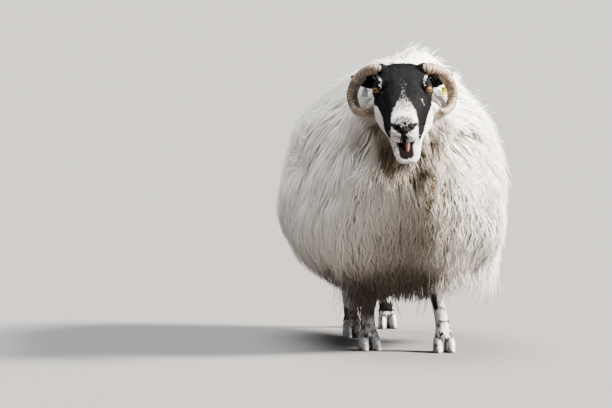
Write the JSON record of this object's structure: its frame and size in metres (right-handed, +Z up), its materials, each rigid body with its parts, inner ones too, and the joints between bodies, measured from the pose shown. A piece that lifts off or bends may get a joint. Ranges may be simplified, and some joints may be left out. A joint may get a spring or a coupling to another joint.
{
  "type": "sheep",
  "caption": "Standing horned hill ewe in long shaggy fleece, head turned to one side and mouth open, as a still life-size animal model.",
  "frame": {"origin": "on the floor, under the middle of the bounding box", "axes": "+Z up; the body lies along Y with the chest towards -Y and the rump towards +Y; the animal's left is +X"},
  "size_m": [0.521, 1.054, 0.7173],
  "materials": {
    "wool": "long shaggy off-white wool, dull",
    "face": "short black hair with a speckled white blaze and muzzle",
    "jaw": "short cream-white hair",
    "leg": "short white hair with black mottling",
    "horn": "ridged grey-brown horn",
    "hoof": "pale whitish-grey hoof horn",
    "eye": "amber iris with a level dark pupil, wet gloss",
    "tongue": "wet pink-brown",
    "yellow_tag": "plain yellow ear tag",
    "grey_tag": "plain pale grey ear tag"
  },
  "bodies": {
    "root": {"trunk": "wool", "neck": "wool", "tail": "wool", "head": "face", "lower_jaw": "jaw", "tongue": "tongue", "left_ear": "face", "right_ear": "face", "left_eye": "eye", "right_eye": "eye", "left_horn": "horn", "right_horn": "horn", "left_ear_tag": "yellow_tag", "right_ear_tag": "grey_tag", "left_fore_leg": "leg", "left_hind_leg": "leg", "right_fore_leg": "leg", "right_hind_leg": "leg", "left_fore_outer_claw": "hoof", "left_fore_inner_claw": "hoof", "left_hind_outer_claw": "hoof", "left_hind_inner_claw": "hoof", "right_fore_outer_claw": "hoof", "right_fore_inner_claw": "hoof", "right_hind_outer_claw": "hoof", "right_hind_inner_claw": "hoof"}
  },
  "joints": []
}
